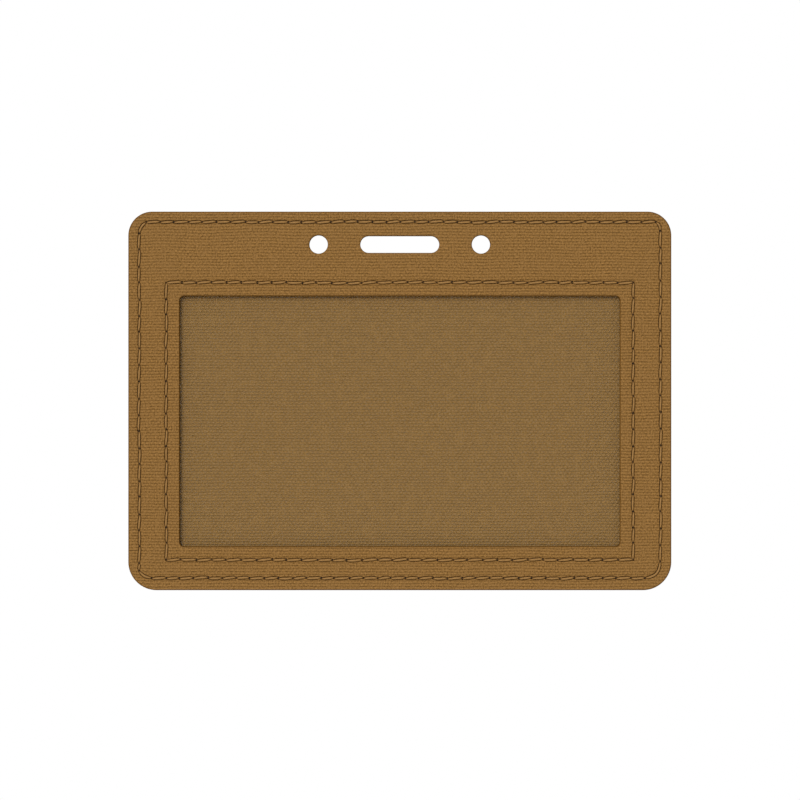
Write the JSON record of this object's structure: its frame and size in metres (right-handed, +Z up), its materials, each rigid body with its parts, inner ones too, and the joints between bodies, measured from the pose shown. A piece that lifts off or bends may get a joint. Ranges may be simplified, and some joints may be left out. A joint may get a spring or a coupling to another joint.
{
  "type": "badge holder",
  "caption": "Flat landscape badge holder of sewn leatherette, with a clear window, a card pocket that opens at the back, and a header punched with a lanyard slot and round strap holes.",
  "frame": {"origin": "centre of the lanyard slot, halfway through the thickness, where the holder hangs", "axes": "+X to the right along the width, +Z up along the height, -Y out of the windowed front and +Y out of the back"},
  "size_m": [0.1094, 0.0032, 0.0762],
  "materials": {
    "leatherette": "matt brown, embossed with a fine canvas grain",
    "clear_film": "clear soft vinyl film",
    "core_board": "dense brown board, die cut",
    "lining": "fine plain weave in brown",
    "thread": "bonded polyester thread in tan"
  },
  "bodies": {
    "root": {"front_panel": "leatherette", "window_film": "clear_film", "core_board": "core_board", "pocket_lining": "lining", "back_header": "leatherette", "back_panel": "leatherette", "perimeter_needle_thread": "thread", "perimeter_bobbin_thread": "thread", "window_needle_thread": "thread", "window_bobbin_thread": "thread"}
  },
  "joints": []
}
